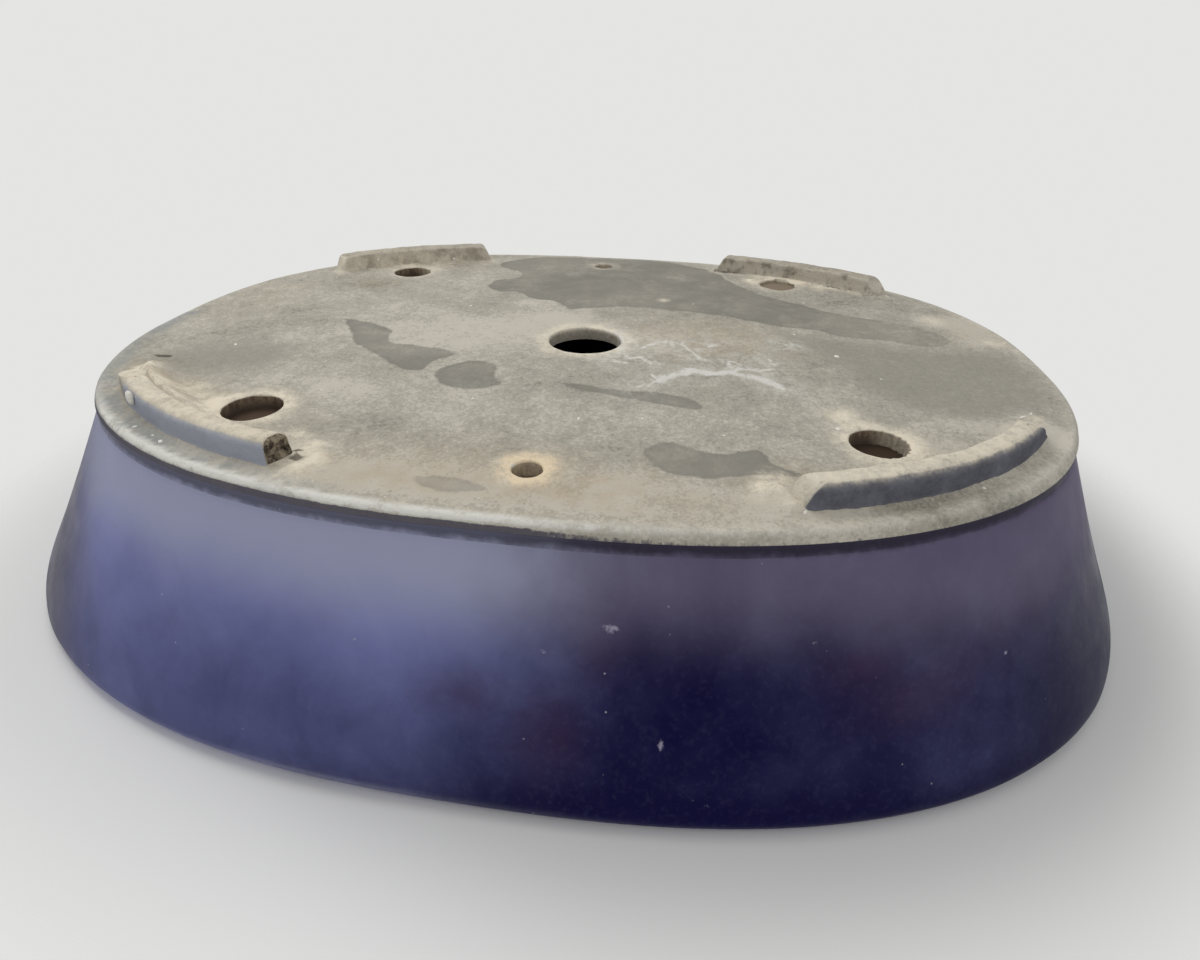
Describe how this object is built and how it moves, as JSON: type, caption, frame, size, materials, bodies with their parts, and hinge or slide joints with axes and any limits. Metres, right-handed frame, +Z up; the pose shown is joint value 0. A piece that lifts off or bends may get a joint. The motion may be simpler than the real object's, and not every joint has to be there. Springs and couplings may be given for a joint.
{
  "type": "bonsai pot",
  "caption": "Shallow oval bonsai pot: flared glazed wall on a bare clay base with curved feet, drain holes and wire holes, open at the top to hold a small tree",
  "frame": {"origin": "on the plane the feet stand on, under the middle of the rim", "axes": "+Z up through the open top, X along the oval, -Y the front"},
  "size_m": [0.36, 0.278, 0.071],
  "materials": {
    "clay": "bare fired stoneware, matt, grey-buff",
    "glaze": "semi-gloss cobalt blue glaze with paler clouds"
  },
  "bodies": {
    "root": {"base_slab": "clay", "wall": "clay", "glaze_coat": "glaze", "foot_front_left": "clay", "foot_front_right": "clay", "foot_rear_left": "clay", "foot_rear_right": "clay"}
  },
  "joints": []
}
